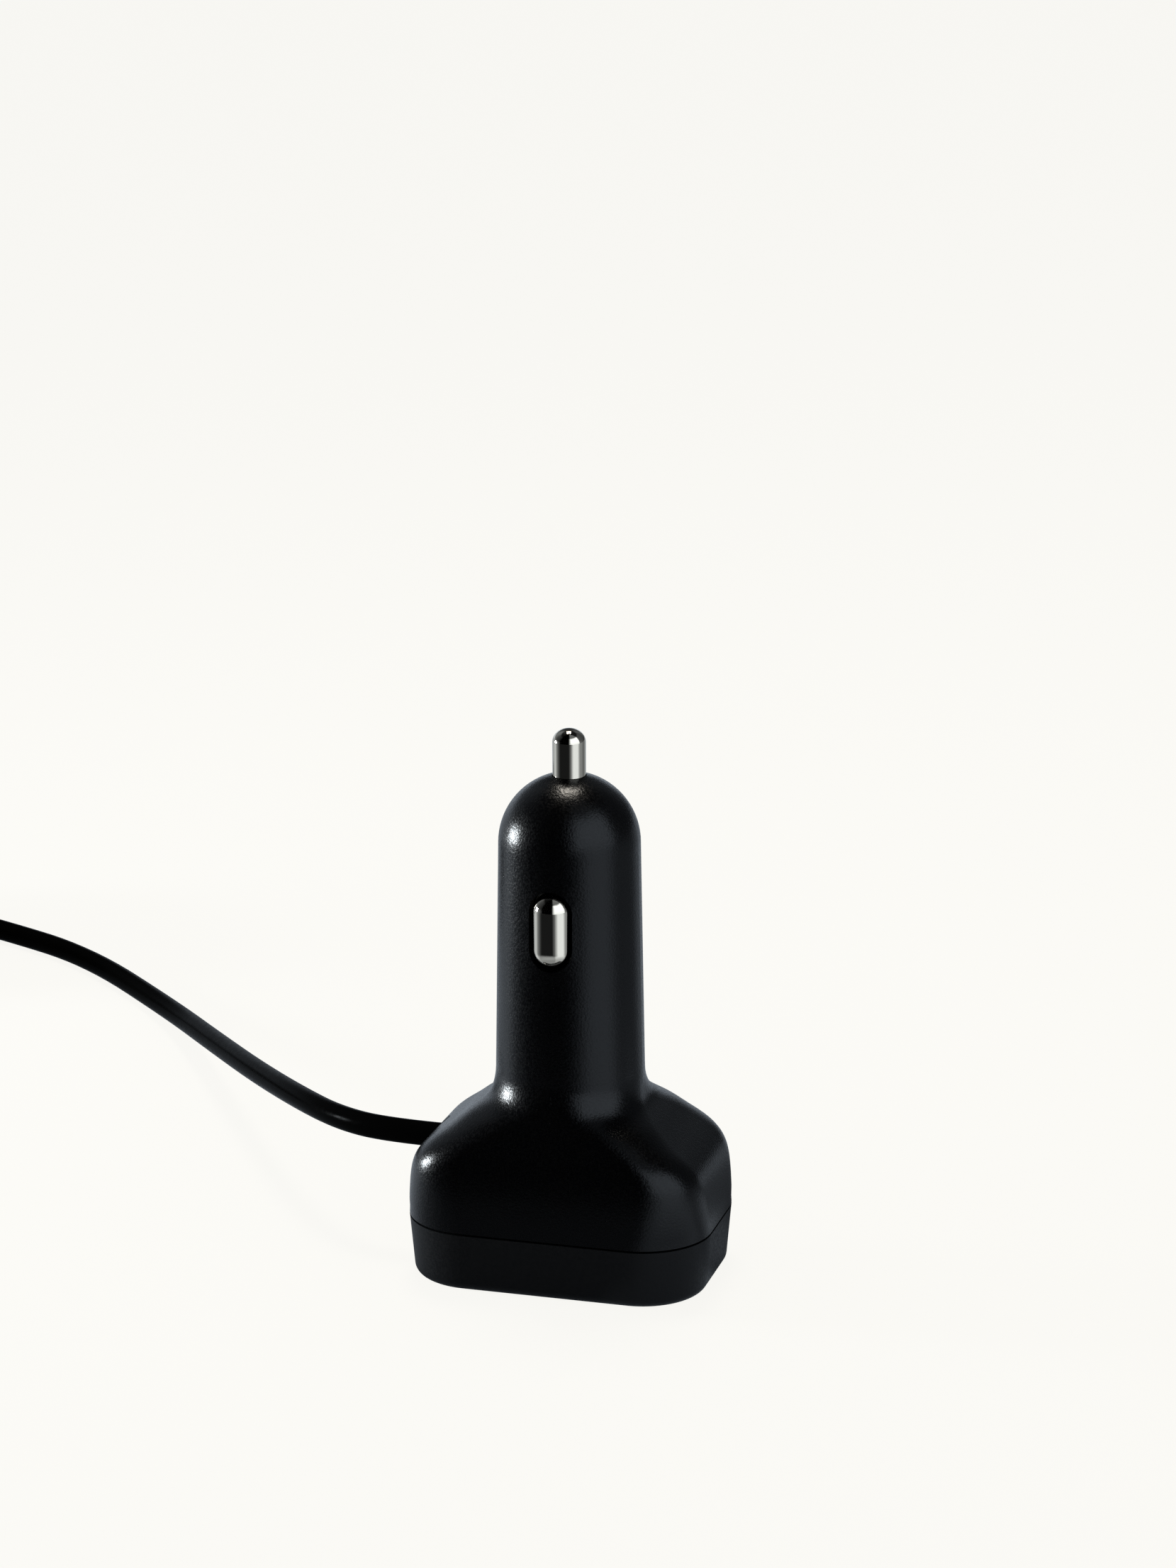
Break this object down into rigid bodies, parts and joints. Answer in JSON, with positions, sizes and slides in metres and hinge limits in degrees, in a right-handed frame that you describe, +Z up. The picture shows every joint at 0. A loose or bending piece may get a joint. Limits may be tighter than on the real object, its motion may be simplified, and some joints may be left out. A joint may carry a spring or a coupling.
{
  "type": "car usb charger plug",
  "caption": "Car charger plug: round barrel with sprung tip and side contacts, flared oblong head with usb sockets in its end face, and a captive cord to a small plug.",
  "frame": {"origin": "on the surface the plug stands on, under the middle of the head's end face", "axes": "+Z up along the barrel to the sprung tip, X along the head's width with the cord leaving towards -X, Y along its depth with a side contact at each side"},
  "size_m": [0.2235, 0.1482, 0.0778],
  "materials": {
    "housing_plastic": "satin, fine grain",
    "cap_plastic": "matte, fine grain",
    "nickel_plate": "bright plate",
    "spring_steel": "drawn",
    "socket_steel": "plated sheet",
    "tongue_plastic": "plain",
    "gold_plate": "bright plate",
    "board_laminate": "solder mask",
    "ferrite": "sintered",
    "copper_wire": "enamelled",
    "can_sleeve": "shrink sleeve",
    "chip_epoxy": "plain",
    "ceramic": "plain",
    "clear_plastic": "clear",
    "soft_black": "moulded",
    "wire_red": "insulation",
    "cord_jacket": "glossy jacket",
    "tie_strap": "woven strap"
  },
  "bodies": {
    "plug": {"main_housing": "housing_plastic", "end_cap": "cap_plastic", "tip_spring": "spring_steel", "spring_seat": "spring_steel", "circuit_board": "board_laminate", "choke_core": "ferrite", "choke_winding": "copper_wire", "input_capacitor": "can_sleeve", "output_capacitor": "can_sleeve", "regulator_chip": "chip_epoxy", "board_diode": "chip_epoxy", "board_fuse": "ceramic", "status_led": "ceramic", "light_pipe": "clear_plastic", "cord_grommet": "soft_black", "cord_wire_plus": "wire_red", "cord_wire_minus": "chip_epoxy", "cord_lead": "cord_jacket", "cord_coil": "cord_jacket", "cord_tail": "cord_jacket", "cord_tie": "tie_strap", "far_plug_body": "soft_black", "far_plug_tip": "socket_steel", "far_plug_insert": "chip_epoxy", "usb_shell_left": "socket_steel", "usb_tongue_left": "tongue_plastic", "usb_contacts_left": "gold_plate", "usb_shell_right": "socket_steel", "usb_tongue_right": "tongue_plastic", "usb_contacts_right": "gold_plate"},
    "tip": {"centre_pin": "nickel_plate"},
    "front_leaf": {"front_contact": "nickel_plate"},
    "rear_leaf": {"rear_contact": "nickel_plate"}
  },
  "joints": [
    {"name": "tip_travel", "type": "slide", "parent": "plug", "child": "tip", "axis": [0, 0, -1], "range_m": [0, 0.003], "stiffness_N_per_m": 1200, "springref_m": -0.002, "deforming": ["tip_spring"]},
    {"name": "front_contact_flex", "type": "hinge", "parent": "plug", "child": "front_leaf", "pos_m": [0, -0.00589, 0.034], "axis": [-1, 0, 0], "range_deg": [0, 3], "stiffness_Nm_per_rad": 1.6, "springref_deg": -2.86},
    {"name": "rear_contact_flex", "type": "hinge", "parent": "plug", "child": "rear_leaf", "pos_m": [0, 0.00589, 0.034], "axis": [1, 0, 0], "range_deg": [0, 3], "stiffness_Nm_per_rad": 1.6, "springref_deg": -2.86}
  ]
}
